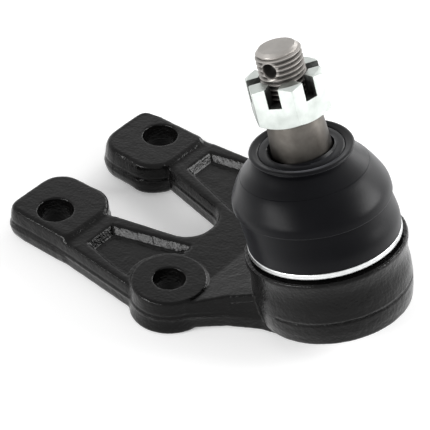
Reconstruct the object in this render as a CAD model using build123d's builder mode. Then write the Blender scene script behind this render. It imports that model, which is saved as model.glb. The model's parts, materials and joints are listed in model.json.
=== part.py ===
from build123d import *
from math import cos, radians, sin, sqrt
import os

os.makedirs("parts", exist_ok=True)

# Lower suspension ball joint on a forged two-legged bracket, in millimetres.
# Origin: midway between the two end bolt holes, on the top face of the pads.
# +X runs from the end bolts to the ball, +Z points to the stud side.

# Bracket heights, measured down from the top face of the pads
pad_bottom = -12.0
web_top = -1.3
web_bottom = -11.0
parting_z = -6.2
forging_draft = 5.0

# End pads, one on each leg, with outlines at the parting plane
end_bolt_spacing = 52.2
end_bolt_d = 12.0
end_pad_back_x = -14.6
end_pad_front_x = 13.8
end_pad_inner_y = 8.4
end_pad_outer_y = 35.2
end_pad_cut = 6.4
end_pad_radii = [9.5, 9.0, 9.0, 3.5, 4.5]
pad_edge_r = 1.5

# Side pads, beside the ball housing
side_bolt_x = 50.8
side_bolt_spacing = 57.0
side_bolt_d = 10.4
side_boss_r = 12.1
side_boss_draft = 3.8
boss_edge_r = 0.7
spotface_r = 11.0

# Legs and the slot between them at the parting plane, and the weight-saving pockets
leg_back_x = 5.0
leg_outer_y = 34.4
leg_outer_slope = 0.092
slot_mouth_y = 17.2
slot_end_y = 8.0
slot_end_x = 43.6
slot_end_r = 8.9
web_edge_r = 1.0
pocket_floor_z = -4.3
pocket_wall_angle = 33.0
pocket_boss_r = 14.0
shoulder_top_z = 2.6
shoulder_start_x = 60.0
shoulder_end_x = 78.0

# Ball housing
housing_x = 93.9
housing_tilt = 13.1
housing_r = 24.9
housing_foot_step = 1.1
housing_foot_s = -4.4
neck_wall = 4.9
collar_step = 0.3
collar_bottom_s = 15.3
collar_top_s = 18.3
housing_top_s = 24.5
ball_s = 12.5
seat_wall = 2.6
mouth_r = 12.4
mouth_top_r = 13.6
cover_ledge = 2.95
rolled_lip = 1.95

# Ball stud, with distances along the stud from the centre of the ball
stud_tilt = 17.6
ball_r = 14.0
ball_flat_u = -10.5
neck_r = 7.6
neck_end_u = 18.0
taper_big_r = 9.5
taper_start_u = 25.0
taper_gauge_u = 34.0
taper_end_u = 49.0
taper_on_diameter = 1 / 8
thread_r = 7.0
thread_start_u = 49.6
stud_end_u = 71.4
stud_end_chamfer = 1.2
cotter_hole_d = 4.0
cotter_hole_u = 66.8
cotter_hole_angle = -79.0

# Slotted nut
nut_across_flats = 22.0
nut_bottom_u = 49.9
nut_height = 13.0
nut_turn = 19.9
nut_slot_width = 4.2
nut_slot_depth = 5.7
nut_corner_drop = 1.1

# Bearing seats, spring pack and bottom cover
running_gap = 0.05
seat_split_gap = 0.3
seat_top_h = 9.5
seat_mouth_angle = 54.0
seat_foot_h = -12.2
plate_thickness = 1.2
plate_inner_r = 7.8
spring_thickness = 0.8
spring_rise = 0.3
spring_inner_r = 8.4
cover_thickness = 1.15
crown_r = 20.0
crown_wall = 1.5
crown_rest_z = -11.8

# Dust boot and its clamp ring
soft_gap = 0.3
ring_lift = 1.1
ring_height = 2.1
ring_thickness = 0.9
ring_edge_r = 0.35
boot_bead = 0.9
boot_wall = 2.0
boot_lip_u = 38.5
boot_lip_r = 16.0
boot_lip_tilt = 10.2
boot_lip_thickness = 3.0
boot_mouth_r = 10.0
boot_neck_r = 13.8
boot_throat_r = 11.6

# Boot sections from the skirt to the dome: height above the housing, shift
# towards the end bolts, tilt, radius beyond the skirt's and lean of the wall
boot_sections = [
    (0.7, 0.0, 13.1, 0.0, 0.0),
    (5.0, 1.4, 13.3, -0.2, 0.0),
    (9.1, 2.3, 13.7, 0.5, 0.0),
    (13.5, 3.0, 14.5, -0.9, 20.0),
    (16.7, 3.3, 13.4, -2.9, 36.0),
    (19.4, 3.5, 13.4, -5.3, 50.0),
]

# Frames of the housing axis and of the stud axis
ht = radians(housing_tilt)
st = radians(stud_tilt)
lt = radians(boot_lip_tilt)
housing_plane = Plane(origin=(housing_x, 0, 0), x_dir=(cos(ht), 0, sin(ht)), z_dir=(-sin(ht), 0, cos(ht)))
housing_section = Plane(origin=(housing_x, 0, 0), x_dir=(cos(ht), 0, sin(ht)), z_dir=(0, -1, 0))
housing_axis = Axis((housing_x, 0, 0), (-sin(ht), 0, cos(ht)))
ball_x = housing_x - ball_s * sin(ht)
ball_z = ball_s * cos(ht)
stud_plane = Plane(origin=(ball_x, 0, ball_z), x_dir=(cos(st), 0, sin(st)), z_dir=(-sin(st), 0, cos(st)))
stud_section = Plane(origin=(ball_x, 0, ball_z), x_dir=(cos(st), 0, sin(st)), z_dir=(0, -1, 0))
stud_axis = Axis((ball_x, 0, ball_z), (-sin(st), 0, cos(st)))

# Derived sizes of the housing, the spring pack and the boot's rim
housing_foot_r = housing_r - housing_foot_step
collar_r = housing_r + collar_step
seat_bore_r = ball_r + seat_wall
trunnion_neck_r = seat_bore_r + neck_wall
cover_bore_r = seat_bore_r + cover_ledge
rolled_lip_r = cover_bore_r - rolled_lip
plate_top_s = ball_s + seat_foot_h - running_gap
plate_bottom_s = plate_top_s - plate_thickness
cover_seat_s = plate_bottom_s - spring_thickness - spring_rise
cover_rim_s = cover_seat_s - cover_thickness
crown_s = (crown_rest_z + crown_r) / cos(ht)
crown_base_r = sqrt(crown_r ** 2 - (crown_s - cover_rim_s) ** 2)
crown_inner_r = crown_r - crown_wall
crown_inner_base_r = sqrt(crown_inner_r ** 2 - (crown_s - cover_seat_s) ** 2)
bead_inner_r = trunnion_neck_r + soft_gap
bead_outer_r = bead_inner_r + boot_bead
ring_inner_r = bead_outer_r + soft_gap
ring_bottom_s = collar_top_s + ring_lift
ring_top_s = ring_bottom_s + ring_height
boot_skirt_r = bead_inner_r + boot_wall
side_y = side_bolt_spacing / 2
end_y = end_bolt_spacing / 2


# Shoulders that carry the housing, with a top that rises towards it
with BuildPart() as shoulders:
    with BuildSketch(Plane.XY.offset(parting_z)) as shoulder_outline:
        with BuildLine():
            Polyline(
                (slot_end_x + 3, 0),
                (side_bolt_x - 6, 14 - side_y),
                (side_bolt_x + 5.6, -side_y - 10.9),
                (70.9, -25.5),
                (80.3, -19.8),
                (housing_x, -16),
                (housing_x, 16),
                (80.3, 19.8),
                (70.9, 25.5),
                (side_bolt_x + 5.6, side_y + 10.9),
                (side_bolt_x - 6, side_y - 14),
                close=True,
            )
        make_face()
    extrude(amount=shoulder_top_z - parting_z, taper=forging_draft)
    extrude(shoulder_outline.sketch, amount=web_bottom - parting_z, taper=forging_draft)
    with BuildSketch(Plane.XZ):
        with BuildLine():
            Polyline(
                (30, web_top),
                (shoulder_start_x, web_top),
                (shoulder_end_x, shoulder_top_z),
                (100, shoulder_top_z),
                (100, 9),
                (30, 9),
                close=True,
            )
        make_face()
    extrude(amount=50, both=True, mode=Mode.SUBTRACT)


# Web plate of the two legs, drafted the same way, with rounded rims
with BuildPart() as web:
    with BuildSketch(Plane.XY.offset(parting_z)) as web_outline:
        with BuildLine():
            Polyline(
                (leg_back_x, -leg_outer_y - leg_outer_slope * leg_back_x),
                (side_bolt_x - 4, -leg_outer_y - leg_outer_slope * (side_bolt_x - 4)),
                (side_bolt_x + 8, -side_y),
                (64, 0),
                (side_bolt_x + 8, side_y),
                (side_bolt_x - 4, leg_outer_y + leg_outer_slope * (side_bolt_x - 4)),
                (leg_back_x, leg_outer_y + leg_outer_slope * leg_back_x),
                close=True,
            )
        make_face()
        with BuildLine():
            FilletPolyline(
                (leg_back_x - 1, -slot_mouth_y),
                (slot_end_x, -slot_end_y),
                (slot_end_x, slot_end_y),
                (leg_back_x - 1, slot_mouth_y),
                radius=slot_end_r,
            )
            Line((leg_back_x - 1, slot_mouth_y), (leg_back_x - 1, -slot_mouth_y))
        make_face(mode=Mode.SUBTRACT)
    extrude(amount=web_top - parting_z, taper=forging_draft)
    extrude(web_outline.sketch, amount=web_bottom - parting_z, taper=forging_draft)
    fillet(web.faces().filter_by(Axis.Z).edges(), radius=web_edge_r)


# Side bosses, wider towards the foot, with rounded rims
with BuildPart() as side_bosses:
    with BuildSketch(Plane.XY):
        with Locations((side_bolt_x, side_y), (side_bolt_x, -side_y)):
            Circle(side_boss_r)
    extrude(amount=pad_bottom, taper=-side_boss_draft)
    fillet(side_bosses.edges().filter_by(GeomType.CIRCLE), radius=boss_edge_r)


# Bracket: the forged arm with the ball housing in one piece
with BuildPart() as bracket:
    # End pads, drafted both ways from the parting plane
    with BuildSketch(Plane.XY.offset(parting_z)) as pad_outline:
        with BuildLine():
            FilletPolyline(
                (end_pad_back_x, end_pad_inner_y),
                (end_pad_front_x - end_pad_cut, end_pad_inner_y),
                (end_pad_front_x, end_pad_inner_y + end_pad_cut),
                (end_pad_front_x, end_pad_outer_y),
                (end_pad_back_x, end_pad_outer_y),
                radius=end_pad_radii,
                close=True,
            )
        make_face()
        mirror(about=Plane.XZ)
    extrude(amount=-parting_z, taper=forging_draft)
    extrude(pad_outline.sketch, amount=pad_bottom - parting_z, taper=forging_draft)
    fillet(bracket.faces().filter_by(Axis.Z).edges(), radius=pad_edge_r)

    # Web plate, with a pocket sunk into each leg
    add(web.part)
    with BuildSketch(Plane.XY.offset(pocket_floor_z)):
        with BuildLine():
            Polyline(
                (20.0, 20.2),
                (44.0, 12.9),
                (46.5, 17.0),
                (39.5, 33.0),
                (31.0, 31.9),
                (20.0, 29.5),
                close=True,
            )
        make_face()
        mirror(about=Plane.XZ)
    extrude(amount=web_top - pocket_floor_z, taper=-pocket_wall_angle, mode=Mode.SUBTRACT)

    # Shoulders, side bosses and the web around them
    add(shoulders.part)
    add(side_bosses.part)
    with BuildSketch(Plane.XY.offset(web_bottom)):
        with Locations((side_bolt_x, side_y), (side_bolt_x, -side_y)):
            Circle(pocket_boss_r)
        with BuildLine():
            Polyline((20, -28), (side_bolt_x, -38), (side_bolt_x, 38), (20, 28), close=True)
        make_face(mode=Mode.INTERSECT)
    extrude(amount=web_top - web_bottom)

    # Housing body
    with BuildSketch(housing_section):
        with BuildLine():
            Polyline(
                (0, housing_foot_s),
                (housing_foot_r - 1.2, housing_foot_s),
                (housing_foot_r, housing_foot_s + 0.6),
                (housing_r - 0.4, -0.3),
                (housing_r, 4),
                (housing_r - 0.1, 8),
                (housing_r - 0.5, 12),
                (housing_r - 0.7, collar_bottom_s - 0.8),
                (collar_r, collar_bottom_s),
                (collar_r, collar_top_s),
                (trunnion_neck_r, collar_top_s),
                (trunnion_neck_r, housing_top_s),
                (0, housing_top_s),
                close=True,
            )
        make_face()
    revolve(axis=housing_axis)

    # Cavity for the ball: mouth, seat bore, cover bore and rolled lip
    with BuildSketch(housing_section):
        with BuildLine():
            Polyline(
                (0, housing_foot_s - 12),
                (rolled_lip_r, housing_foot_s - 12),
                (rolled_lip_r, cover_rim_s),
                (cover_bore_r, cover_rim_s),
                (cover_bore_r, cover_seat_s),
                (seat_bore_r, cover_seat_s),
                (seat_bore_r, ball_s + seat_top_h),
                (mouth_r, ball_s + seat_top_h),
                (mouth_top_r, housing_top_s),
                (0, housing_top_s),
                close=True,
            )
        make_face()
    revolve(axis=housing_axis, mode=Mode.SUBTRACT)

    # Spotfaces and bolt holes
    with BuildSketch(Plane.XY):
        with Locations((side_bolt_x, side_y), (side_bolt_x, -side_y)):
            Circle(spotface_r)
    extrude(amount=5, mode=Mode.SUBTRACT)
    with Locations((side_bolt_x, side_y, 0), (side_bolt_x, -side_y, 0)):
        Hole(side_bolt_d / 2)
    with Locations((0, end_y, 0), (0, -end_y, 0)):
        Hole(end_bolt_d / 2)
bracket.part.label = "bracket"
export_step(bracket.part, "parts/bracket.step")


# Ball stud: ball, neck, taper and threaded end
with BuildPart() as ball_stud:
    ball_flat_r = sqrt(ball_r ** 2 - ball_flat_u ** 2)
    neck_start_u = sqrt(ball_r ** 2 - neck_r ** 2)
    taper_small_r = taper_big_r - (taper_end_u - taper_gauge_u) * taper_on_diameter / 2
    with BuildSketch(stud_section):
        with BuildLine():
            Line((0, ball_flat_u), (ball_flat_r, ball_flat_u))
            ThreePointArc((ball_flat_r, ball_flat_u), (ball_r, 0), (neck_r, neck_start_u))
            Polyline(
                (neck_r, neck_start_u),
                (neck_r, neck_end_u),
                (taper_big_r, taper_start_u),
                (taper_big_r, taper_gauge_u),
                (taper_small_r, taper_end_u),
                (thread_r, thread_start_u),
                (thread_r, stud_end_u - stud_end_chamfer),
                (thread_r - stud_end_chamfer, stud_end_u),
                (0, stud_end_u),
                (0, ball_flat_u),
            )
        make_face()
    revolve(axis=stud_axis)
    turn = radians(cotter_hole_angle)
    across = stud_plane.from_local_coords(Vector(cos(turn), sin(turn), 0)) - stud_plane.origin
    hole_centre = stud_plane.from_local_coords(Vector(0, 0, cotter_hole_u))
    with BuildSketch(Plane(origin=hole_centre, x_dir=stud_plane.z_dir, z_dir=across)):
        Circle(cotter_hole_d / 2)
    extrude(amount=thread_r + 2, both=True, mode=Mode.SUBTRACT)
ball_stud.part.label = "ball_stud"
export_step(ball_stud.part, "parts/ball_stud.step")


# Slotted nut on the threaded end
with BuildPart() as slotted_nut:
    corner_r = nut_across_flats / 2 / cos(radians(30))
    with BuildSketch(stud_plane.offset(nut_bottom_u)):
        RegularPolygon(radius=corner_r, side_count=6, rotation=nut_turn)
        Circle(thread_r + running_gap, mode=Mode.SUBTRACT)
    extrude(amount=nut_height)
    # Chamfered corners at both ends
    with BuildSketch(stud_section):
        with BuildLine():
            Polyline(
                (corner_r - 1.9, nut_bottom_u),
                (corner_r + 1, nut_bottom_u),
                (corner_r + 1, nut_bottom_u + nut_corner_drop * 2.9 / 1.9),
                close=True,
            )
        make_face()
        with BuildLine():
            Polyline(
                (corner_r - 1.9, nut_bottom_u + nut_height),
                (corner_r + 1, nut_bottom_u + nut_height),
                (corner_r + 1, nut_bottom_u + nut_height - nut_corner_drop * 2.9 / 1.9),
                close=True,
            )
        make_face()
    revolve(axis=stud_axis, mode=Mode.SUBTRACT)
    # Six slots for the cotter pin, one in each flat
    with BuildSketch(stud_plane.offset(nut_bottom_u + nut_height - nut_slot_depth)):
        with PolarLocations(0, 3, start_angle=nut_turn + 30, angular_range=180):
            Rectangle(3 * corner_r, nut_slot_width)
    extrude(amount=nut_slot_depth + 1, mode=Mode.SUBTRACT)
slotted_nut.part.label = "slotted_nut"
export_step(slotted_nut.part, "parts/slotted_nut.step")


# Upper bearing seat, from the ball's equator to the housing's flange
seat_r = ball_r + running_gap
seat_outer_r = seat_bore_r - running_gap
mouth = radians(seat_mouth_angle)
with BuildPart() as upper_seat:
    low_h = seat_split_gap / 2
    top_h = seat_top_h - running_gap
    with BuildSketch(housing_section):
        with BuildLine():
            ThreePointArc(
                (sqrt(seat_r ** 2 - low_h ** 2), ball_s + low_h),
                (seat_r * cos(radians(18)), ball_s + seat_r * sin(radians(18))),
                (seat_r * sin(mouth), ball_s + seat_r * cos(mouth)),
            )
            Polyline(
                (seat_r * sin(mouth), ball_s + seat_r * cos(mouth)),
                (mouth_r - 0.1, ball_s + top_h),
                (seat_outer_r, ball_s + top_h),
                (seat_outer_r, ball_s + low_h),
                (sqrt(seat_r ** 2 - low_h ** 2), ball_s + low_h),
            )
        make_face()
    revolve(axis=housing_axis)
upper_seat.part.label = "upper_seat"
export_step(upper_seat.part, "parts/upper_seat.step")


# Lower bearing seat, a ring under the ball
with BuildPart() as lower_seat:
    rim_h = -seat_split_gap / 2
    with BuildSketch(housing_section):
        with BuildLine():
            ThreePointArc(
                (sqrt(seat_r ** 2 - seat_foot_h ** 2), ball_s + seat_foot_h),
                (seat_r * cos(radians(25)), ball_s - seat_r * sin(radians(25))),
                (sqrt(seat_r ** 2 - rim_h ** 2), ball_s + rim_h),
            )
            Polyline(
                (sqrt(seat_r ** 2 - rim_h ** 2), ball_s + rim_h),
                (seat_outer_r, ball_s + rim_h),
                (seat_outer_r, ball_s + seat_foot_h),
                (sqrt(seat_r ** 2 - seat_foot_h ** 2), ball_s + seat_foot_h),
            )
        make_face()
    revolve(axis=housing_axis)
lower_seat.part.label = "lower_seat"
export_step(lower_seat.part, "parts/lower_seat.step")


# Pressure plate between the lower seat and the spring
with BuildPart() as pressure_plate:
    with BuildSketch(housing_plane.offset(plate_bottom_s)):
        Circle(seat_bore_r - 0.2)
        Circle(plate_inner_r, mode=Mode.SUBTRACT)
    extrude(amount=plate_thickness)
pressure_plate.part.label = "pressure_plate"
export_step(pressure_plate.part, "parts/pressure_plate.step")


# Disc spring, coned towards the pressure plate
with BuildPart() as disc_spring:
    spring_outer_r = seat_bore_r - 0.2
    with BuildSketch(housing_section):
        with BuildLine():
            Polyline(
                (spring_inner_r, plate_bottom_s),
                (spring_outer_r, plate_bottom_s - spring_rise),
                (spring_outer_r, cover_seat_s),
                (spring_inner_r, cover_seat_s + spring_rise),
                close=True,
            )
        make_face()
    revolve(axis=housing_axis)
disc_spring.part.label = "disc_spring"
export_step(disc_spring.part, "parts/disc_spring.step")


# Bottom cover, a pressed cap with a crown, held by the rolled lip
with BuildPart() as bottom_cover:
    with BuildSketch(housing_section):
        with BuildLine():
            RadiusArc((crown_base_r, cover_rim_s), (0, crown_s - crown_r), crown_r)
            Line((0, crown_s - crown_r), (0, crown_s - crown_inner_r))
            RadiusArc((0, crown_s - crown_inner_r), (crown_inner_base_r, cover_seat_s), -crown_inner_r)
            Polyline(
                (crown_inner_base_r, cover_seat_s),
                (cover_bore_r - running_gap, cover_seat_s),
                (cover_bore_r - running_gap, cover_rim_s),
                (crown_base_r, cover_rim_s),
            )
        make_face()
    revolve(axis=housing_axis)
bottom_cover.part.label = "bottom_cover"
export_step(bottom_cover.part, "parts/bottom_cover.step")


# Clamp ring that holds the boot's bead on the housing neck
with BuildPart() as boot_clamp_ring:
    with BuildSketch(housing_plane.offset(ring_bottom_s)):
        Circle(ring_inner_r + ring_thickness)
        Circle(ring_inner_r, mode=Mode.SUBTRACT)
    extrude(amount=ring_height)
    ring_rims = boot_clamp_ring.edges().filter_by(GeomType.CIRCLE).group_by(SortBy.RADIUS)[-1]
    fillet(ring_rims, radius=ring_edge_r)
boot_clamp_ring.part.label = "boot_clamp_ring"
export_step(boot_clamp_ring.part, "parts/boot_clamp_ring.step")


# Dust boot: bead under the clamp ring, skirt, dome and top lip
lip_plane = Plane(
    origin=stud_plane.from_local_coords(Vector(0, 0, boot_lip_u)),
    x_dir=(cos(lt), 0, sin(lt)),
    z_dir=(-sin(lt), 0, cos(lt)),
)
with BuildPart() as dust_boot:
    # Outer form
    with BuildSketch(housing_plane.offset(ring_top_s + soft_gap)):
        Circle(boot_skirt_r)
    for rise, shift, tilt, bulge, lean in boot_sections:
        centre = housing_plane.from_local_coords(Vector(0, 0, housing_top_s + rise)) - Vector(shift, 0, 0)
        tilted = (-sin(radians(tilt)), 0, cos(radians(tilt)))
        with BuildSketch(Plane(origin=centre, x_dir=(cos(radians(tilt)), 0, sin(radians(tilt))), z_dir=tilted)):
            Circle(boot_skirt_r + bulge)
    with BuildSketch(lip_plane.offset(-boot_lip_thickness - 0.8)):
        Circle(boot_neck_r + 0.3)
    with BuildSketch(lip_plane.offset(-boot_lip_thickness)):
        Circle(boot_neck_r)
    loft(ruled=True)
    # Inner space around the stud and over the housing neck
    with BuildSketch(housing_plane.offset(ring_top_s)):
        Circle(bead_inner_r)
    for rise, shift, tilt, bulge, lean in boot_sections:
        centre = housing_plane.from_local_coords(Vector(0, 0, housing_top_s + rise)) - Vector(shift, 0, 0)
        tilted = (-sin(radians(tilt)), 0, cos(radians(tilt)))
        inset = boot_wall * cos(radians(lean))
        drop = boot_wall * sin(radians(lean))
        section = Plane(origin=centre, x_dir=(cos(radians(tilt)), 0, sin(radians(tilt))), z_dir=tilted)
        with BuildSketch(section.offset(-drop)):
            Circle(boot_skirt_r + bulge - inset)
    with BuildSketch(lip_plane.offset(-boot_lip_thickness - 1.6)):
        Circle(boot_throat_r)
    loft(ruled=True, mode=Mode.SUBTRACT)
    # Bead on the neck, under the clamp ring
    with BuildSketch(housing_plane.offset(collar_top_s + soft_gap)):
        Circle(bead_outer_r)
        Circle(bead_inner_r, mode=Mode.SUBTRACT)
    extrude(amount=ring_top_s - collar_top_s + 0.6)
    # Top lip with its mouth for the stud
    with BuildSketch(lip_plane.offset(-boot_lip_thickness)):
        Circle(boot_lip_r)
    extrude(amount=boot_lip_thickness)
    with BuildSketch(stud_plane.offset(boot_lip_u - boot_lip_thickness - 4)):
        Circle(boot_mouth_r)
    extrude(amount=boot_lip_thickness + 8, mode=Mode.SUBTRACT)
dust_boot.part.label = "dust_boot"
export_step(dust_boot.part, "parts/dust_boot.step")
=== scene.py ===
import bmesh
import bpy
import json
import math
import numpy as np
from mathutils import Euler, Matrix, Vector, noise


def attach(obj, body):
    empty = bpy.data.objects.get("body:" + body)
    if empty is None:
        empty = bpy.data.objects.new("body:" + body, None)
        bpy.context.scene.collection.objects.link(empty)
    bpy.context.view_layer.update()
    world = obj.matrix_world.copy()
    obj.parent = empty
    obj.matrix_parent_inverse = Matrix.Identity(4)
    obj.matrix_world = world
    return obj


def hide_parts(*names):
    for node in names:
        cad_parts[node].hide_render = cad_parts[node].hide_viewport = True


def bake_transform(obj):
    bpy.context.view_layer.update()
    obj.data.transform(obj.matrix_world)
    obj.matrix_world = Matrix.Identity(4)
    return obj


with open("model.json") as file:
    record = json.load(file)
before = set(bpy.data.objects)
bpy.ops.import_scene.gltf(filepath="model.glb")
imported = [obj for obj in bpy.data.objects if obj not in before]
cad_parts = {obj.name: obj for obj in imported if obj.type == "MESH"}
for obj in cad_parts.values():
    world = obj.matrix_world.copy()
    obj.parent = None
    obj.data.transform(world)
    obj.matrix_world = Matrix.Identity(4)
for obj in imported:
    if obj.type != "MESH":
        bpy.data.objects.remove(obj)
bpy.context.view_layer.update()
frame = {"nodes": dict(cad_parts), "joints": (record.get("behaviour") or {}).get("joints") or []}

mm = 0.001
joints = {joint["name"]: joint for joint in frame["joints"]}
ballCentre = Vector(joints["swivel"]["pos_m"])
housingAxis = Vector(joints["swivel"]["axis"]).normalized()
studAxis = Vector(joints["stud_spin"]["axis"]).normalized()
ballHeight = 12.5  # mm up the housing axis from the pads' top plane


def axisFrame(origin, axis):
    side = Vector((0, 1, 0))
    return Matrix.Translation(origin) @ Matrix((side.cross(axis), side, axis)).transposed().to_4x4()


studFrame = axisFrame(ballCentre, studAxis)
housingFrame = axisFrame(ballCentre - housingAxis * ballHeight * mm, housingAxis)
housingTilt = math.degrees(math.atan2(-housingAxis.x, housingAxis.z))
studTilt = math.degrees(math.atan2(-studAxis.x, studAxis.z))


def newPiece(name, mesh):
    piece = bpy.data.objects.new(name, mesh)
    bpy.context.scene.collection.objects.link(piece)
    return piece


# rows of points, each row a closed ring
def pieceFromGrid(name, rows, closeRows=False, capStart=False, capEnd=False):
    rowCount, ringCount = len(rows), len(rows[0])
    points = [point for row in rows for point in row]
    faces = []
    for i in range(rowCount if closeRows else rowCount - 1):
        here, there = i * ringCount, ((i + 1) % rowCount) * ringCount
        for j in range(ringCount):
            k = (j + 1) % ringCount
            faces.append((here + j, here + k, there + k, there + j))
    if capStart:
        faces.append(tuple(reversed(range(ringCount))))
    if capEnd:
        faces.append(tuple((rowCount - 1) * ringCount + j for j in range(ringCount)))
    mesh = bpy.data.meshes.new(name)
    mesh.from_pydata(points, [], faces)
    mesh.validate()
    return newPiece(name, mesh)


# corners of (radius, height, fillet) in mm turned into a smooth outline
def filletProfile(corners, steps=4):
    outline = []
    for i, (r, h, fillet) in enumerate(corners):
        here = Vector((r, h))
        if not fillet or i in (0, len(corners) - 1):
            outline.append((r, h))
            continue
        back = Vector(corners[i - 1][:2]) - here
        ahead = Vector(corners[i + 1][:2]) - here
        reach = min(fillet / math.tan(back.angle(ahead) / 2), back.length * 0.49, ahead.length * 0.49)
        start, end = here + back.normalized() * reach, here + ahead.normalized() * reach
        for k in range(steps + 1):
            t = k / steps
            point = start.lerp(here, t).lerp(here.lerp(end, t), t)
            outline.append((point.x, point.y))
    return outline


# a point in mm, given round a frame's z axis
def around(matrix, radius, angle, height):
    return matrix @ Vector((radius * math.cos(angle) * mm, radius * math.sin(angle) * mm, height * mm))


def evenAngles(count):
    return [2 * math.pi * j / count for j in range(count)]


def ringOf(matrix, radius, height, segments):
    return [around(matrix, radius, angle, height) for angle in evenAngles(segments)]


# turns an outline of (radius, height) in mm round the frame's z axis
def lathe(name, outline, matrix, segments=96, closed=False):
    rows = [ringOf(matrix, r, h, segments) for r, h in outline]
    return pieceFromGrid(name, rows, closeRows=closed, capStart=not closed, capEnd=not closed)


def applyModifiers(piece):
    shot = bpy.context.evaluated_depsgraph_get()
    shot.update()
    mesh = bpy.data.meshes.new_from_object(piece.evaluated_get(shot))
    old = piece.data
    piece.modifiers.clear()
    piece.data = mesh
    bpy.data.meshes.remove(old)


def cut(piece, tool, operation="DIFFERENCE"):
    modifier = piece.modifiers.new("cut", "BOOLEAN")
    modifier.operation, modifier.solver, modifier.object = operation, "EXACT", tool
    applyModifiers(piece)
    bpy.data.objects.remove(tool)


def finishMesh(piece, sharpAngle=35):
    mesh = piece.data
    work = bmesh.new()
    work.from_mesh(mesh)
    bmesh.ops.remove_doubles(work, verts=work.verts, dist=1e-7)
    bmesh.ops.dissolve_degenerate(work, edges=work.edges, dist=1e-7)
    bmesh.ops.recalc_face_normals(work, faces=work.faces)
    work.to_mesh(mesh)
    work.free()
    mesh.shade_smooth()
    mesh.set_sharp_from_angle(angle=math.radians(sharpAngle))


# a node material with a few short cuts
class Finish:
    def __init__(self, name):
        self.material = bpy.data.materials.new(name)
        self.material.use_nodes = True
        self.tree = self.material.node_tree
        self.tree.nodes.clear()
        self.output = self.tree.nodes.new("ShaderNodeOutputMaterial")
        self.shader = self.add("ShaderNodeBsdfPrincipled")
        self.link(self.shader, "BSDF", self.output, "Surface")
        self.place = self.add("ShaderNodeTexCoord")

    def add(self, kind, **values):
        node = self.tree.nodes.new(kind)
        for key, value in values.items():
            setattr(node, key, value)
        return node

    def link(self, source, output, target, socket):
        self.tree.links.new(source.outputs[output], target.inputs[socket])

    def set(self, **values):
        for key, value in values.items():
            self.shader.inputs[key.replace("_", " ")].default_value = value

    def noise(self, scale, detail=3.0, roughness=0.55, stretch=(1, 1, 1), turn=(0, 0, 0)):
        mapping = self.add("ShaderNodeMapping")
        mapping.inputs["Rotation"].default_value = turn
        mapping.inputs["Scale"].default_value = stretch
        self.link(self.place, "Object", mapping, "Vector")
        node = self.add("ShaderNodeTexNoise")
        node.inputs["Scale"].default_value = scale
        node.inputs["Detail"].default_value = detail
        node.inputs["Roughness"].default_value = roughness
        self.link(mapping, "Vector", node, "Vector")
        return node

    def ramp(self, source, output, stops):
        node = self.add("ShaderNodeValToRGB")
        elements = node.color_ramp.elements
        while len(elements) < len(stops):
            elements.new(0.5)
        for element, (position, colour) in zip(elements, stops):
            element.position = position
            element.color = (*colour, 1)
        self.link(source, output, node, "Fac")
        return node

    def span(self, source, output, low, high, fromLow=0.3, fromHigh=0.7):
        node = self.add("ShaderNodeMapRange")
        limits = {"From Min": fromLow, "From Max": fromHigh, "To Min": low, "To Max": high}
        for socket, value in limits.items():
            node.inputs[socket].default_value = value
        self.link(source, output, node, "Value")
        return node

    def math(self, operation, first, second=None):
        node = self.add("ShaderNodeMath", operation=operation)
        for socket, source in enumerate((first, second)):
            if isinstance(source, (int, float)):
                node.inputs[socket].default_value = source
            elif source:
                self.tree.links.new(source.outputs[0], node.inputs[socket])
        return node

    # distance of a point along an axis, in metres from the axis's origin
    def along(self, axis, origin=(0, 0, 0)):
        dot = self.add("ShaderNodeVectorMath", operation="DOT_PRODUCT")
        self.link(self.place, "Object", dot, 0)
        dot.inputs[1].default_value = axis
        out = self.add("ShaderNodeMath", operation="SUBTRACT")
        self.link(dot, "Value", out, 0)
        out.inputs[1].default_value = Vector(axis).dot(Vector(origin))
        return out

    def bump(self, source, output, strength, distance, under=None):
        node = self.add("ShaderNodeBump")
        node.inputs["Strength"].default_value = strength
        node.inputs["Distance"].default_value = distance
        self.link(source, output, node, "Height")
        if under:
            self.link(under, "Normal", node, "Normal")
        return node

    def shine(self, source, rough):
        spread = self.span(source, "Fac", *rough)
        self.link(spread, "Result", self.shader, "Roughness")

    def relief(self, source, strength, depth):
        bump = self.bump(source, "Fac", strength, depth)
        self.link(bump, "Normal", self.shader, "Normal")

    # colour and roughness that vary with a noise
    def skin(self, tone, values, shine=None):
        colours = self.ramp(tone, "Fac", [(0.32, values["dark"]), (0.68, values["light"])])
        self.link(colours, "Color", self.shader, "Base Color")
        self.shine(shine or tone, values["roughness"])


def dress(piece, finish):
    piece.data.materials.clear()
    piece.data.materials.append(finish.material)


# in each finish a noise is its scale, detail and roughness
enamelValues = {
    "dark": (0.002, 0.0019, 0.0019),
    "light": (0.0042, 0.004, 0.0039),
    "facingGloss": 0.25,  # share of the gloss that is left where the surface faces the eye
    "roughness": (0.09, 0.2),
    "broad": (70, 3),
    "cast": (1150, 2, 0.5),
    "castDepth": 0.00026,  # m, as are the lengths below
    "grain": (2600, 2),
    "grainDepth": 0.00008,
    "reliefStrength": 0.5,
    "seamHeight": -0.0062,  # where the forging's halves meet on the arms
    "seamUp": 0.0038,  # the same up the housing's axis
    "seamWidth": 0.00022,
    "seamCore": 0.4,  # share of the width at full depth
    "seamWander": 0.00035,
    "seamDepth": 0.0003,
    "seamStrength": 0.9,
    "ragged": (190, 4, 0.6),
    "gaps": (60, 2),
    "gapShares": (0.42, 0.56),  # noise values between which the seam comes in
    "housingFrom": 0.072,  # x, where the housing's seam takes over
}


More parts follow.
